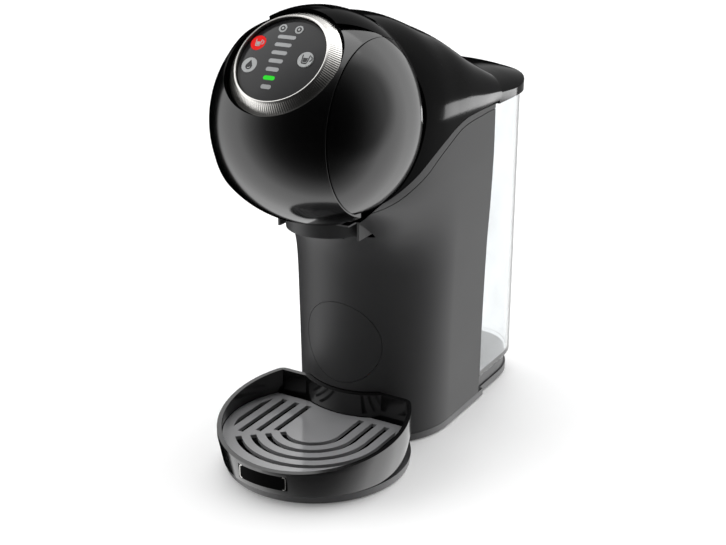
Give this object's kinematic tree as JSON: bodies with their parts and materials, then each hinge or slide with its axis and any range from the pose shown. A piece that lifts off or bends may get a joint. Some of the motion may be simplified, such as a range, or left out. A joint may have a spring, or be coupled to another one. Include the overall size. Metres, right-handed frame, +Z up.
{
  "type": "pod coffee machine",
  "caption": "Compact single-serve pod coffee machine with a rounded head, lifting locking lever, selector dial, sliding capsule holder, rear water tank and drip tray.",
  "frame": {"origin": "centre of the footprint on the table", "axes": "+Z up, -Y towards the user (front), +X to the right seen from the front, which is the side that the picture shows"},
  "size_m": [0.1225, 0.273, 0.287],
  "materials": {
    "matte_body": "satin anthracite, fine grain",
    "dark_base": "matt dark grey",
    "gloss_black": "piano black gloss",
    "gloss_grey": "gloss dark grey",
    "rubber_black": "matt rubber",
    "inner_plastic": "plain moulded",
    "nickel": "spun satin nickel",
    "steel": "bright steel",
    "badge_chrome": "polished",
    "panel_gloss": "dark gloss lens",
    "key_red": "red gloss",
    "key_grey": "light grey satin",
    "bar_grey": "light grey satin",
    "bar_green": "lit green",
    "clear_tank": "clear copolyester",
    "grid_gloss": "silver grey gloss",
    "copper": "enamelled copper winding",
    "heater_alloy": "cast",
    "hose_clear": "silicone",
    "board_green": "circuit board",
    "component_black": "moulded"
  },
  "bodies": {
    "machine": {"base_ring": "dark_base", "base_plate": "dark_base", "rubber_feet": "rubber_black", "column_shell": "matte_body", "column_cap": "matte_body", "yoke_hood": "gloss_black", "side_dome_left": "gloss_grey", "side_dome_right": "gloss_grey", "head_frame": "inner_plastic", "head_bulkhead": "inner_plastic", "hinge_pin": "steel", "lever_bracket": "steel", "brew_chamber": "inner_plastic", "injector_guides": "inner_plastic", "holder_rails": "inner_plastic", "tank_dock": "dark_base", "tank_valve_seat": "rubber_black", "pump_mount_lower": "rubber_black", "pump_body": "steel", "pump_coil": "copper", "pump_mount_upper": "rubber_black", "thermoblock": "heater_alloy", "thermal_cutout": "steel", "heater_shelf": "inner_plastic", "flow_meter": "inner_plastic", "inlet_hose": "hose_clear", "outlet_hose": "hose_clear", "main_board": "board_green", "board_components": "component_black", "cord_inlet": "rubber_black", "case_screws": "steel"},
    "lever": {"lever_shell": "gloss_grey", "lever_top_band": "gloss_black", "lever_badge": "badge_chrome", "lever_frame": "inner_plastic", "dial_seat": "gloss_black", "control_panel": "panel_gloss", "panel_board": "board_green", "level_bars": "bar_grey", "level_bar_lit": "bar_green"},
    "dial": {"dial_ring": "nickel"},
    "start_key": {"start_button": "key_red"},
    "cold_key": {"cold_button": "key_grey"},
    "hot_key": {"hot_button": "key_grey"},
    "strength_key": {"strength_button": "key_grey"},
    "warmth_key": {"warmth_button": "key_grey"},
    "injector": {"injector_plate": "inner_plastic", "injector_needle": "steel"},
    "holder": {"capsule_holder": "inner_plastic", "holder_spout": "inner_plastic"},
    "tank": {"tank_body": "clear_tank", "tank_ears": "clear_tank", "lid_hinge_pin": "steel"},
    "tank_cover": {"tank_lid": "gloss_black"},
    "water_valve": {"tank_valve": "inner_plastic"},
    "tray": {"drip_tray": "matte_body", "tray_label": "gloss_black"},
    "grid": {"drip_grid": "grid_gloss"}
  },
  "joints": [
    {"name": "lever_hinge", "type": "hinge", "parent": "machine", "child": "lever", "pos_m": [0, -0.046, 0.276], "axis": [-1, 0, 0], "range_deg": [0, 55]},
    {"name": "dial_turn", "type": "hinge", "parent": "lever", "child": "dial", "pos_m": [0, -0.10405, 0.26374], "axis": [0, -0.723, 0.6909], "continuous": true},
    {"name": "start_press", "type": "slide", "parent": "lever", "child": "start_key", "axis": [0, 0.723, -0.6909], "range_m": [0, 0.0008], "stiffness_N_per_m": 800},
    {"name": "cold_press", "type": "slide", "parent": "lever", "child": "cold_key", "axis": [0, 0.723, -0.6909], "range_m": [0, 0.0008], "stiffness_N_per_m": 800},
    {"name": "hot_press", "type": "slide", "parent": "lever", "child": "hot_key", "axis": [0, 0.723, -0.6909], "range_m": [0, 0.0008], "stiffness_N_per_m": 800},
    {"name": "strength_press", "type": "slide", "parent": "lever", "child": "strength_key", "axis": [0, 0.723, -0.6909], "range_m": [0, 0.0008], "stiffness_N_per_m": 800},
    {"name": "warmth_press", "type": "slide", "parent": "lever", "child": "warmth_key", "axis": [0, 0.723, -0.6909], "range_m": [0, 0.0008], "stiffness_N_per_m": 800},
    {"name": "injector_lift", "type": "slide", "parent": "machine", "child": "injector", "axis": [0, 0, 1], "range_m": [0, 0.012]},
    {"name": "holder_slide", "type": "slide", "parent": "machine", "child": "holder", "axis": [0, -1, 0], "range_m": [0, 0.075]},
    {"name": "tank_slide", "type": "slide", "parent": "machine", "child": "tank", "axis": [0, 1, 0], "range_m": [0, 0.09]},
    {"name": "lid_hinge", "type": "hinge", "parent": "tank", "child": "tank_cover", "pos_m": [0, 0.1344, 0.2116], "axis": [-1, 0, 0], "range_deg": [0, 75]},
    {"name": "valve_slide", "type": "slide", "parent": "tank", "child": "water_valve", "axis": [0, 0, 1], "range_m": [0, 0.003], "stiffness_N_per_m": 150},
    {"name": "tray_slide", "type": "slide", "parent": "machine", "child": "tray", "axis": [0, -1, 0], "range_m": [0, 0.09]},
    {"name": "grid_lift", "type": "slide", "parent": "tray", "child": "grid", "axis": [0, 0, 1], "range_m": [0, 0.016]}
  ],
  "couplings": [
    {"joint": "injector_lift", "follows": "lever_hinge", "m_per_rad": 0.012501}
  ]
}
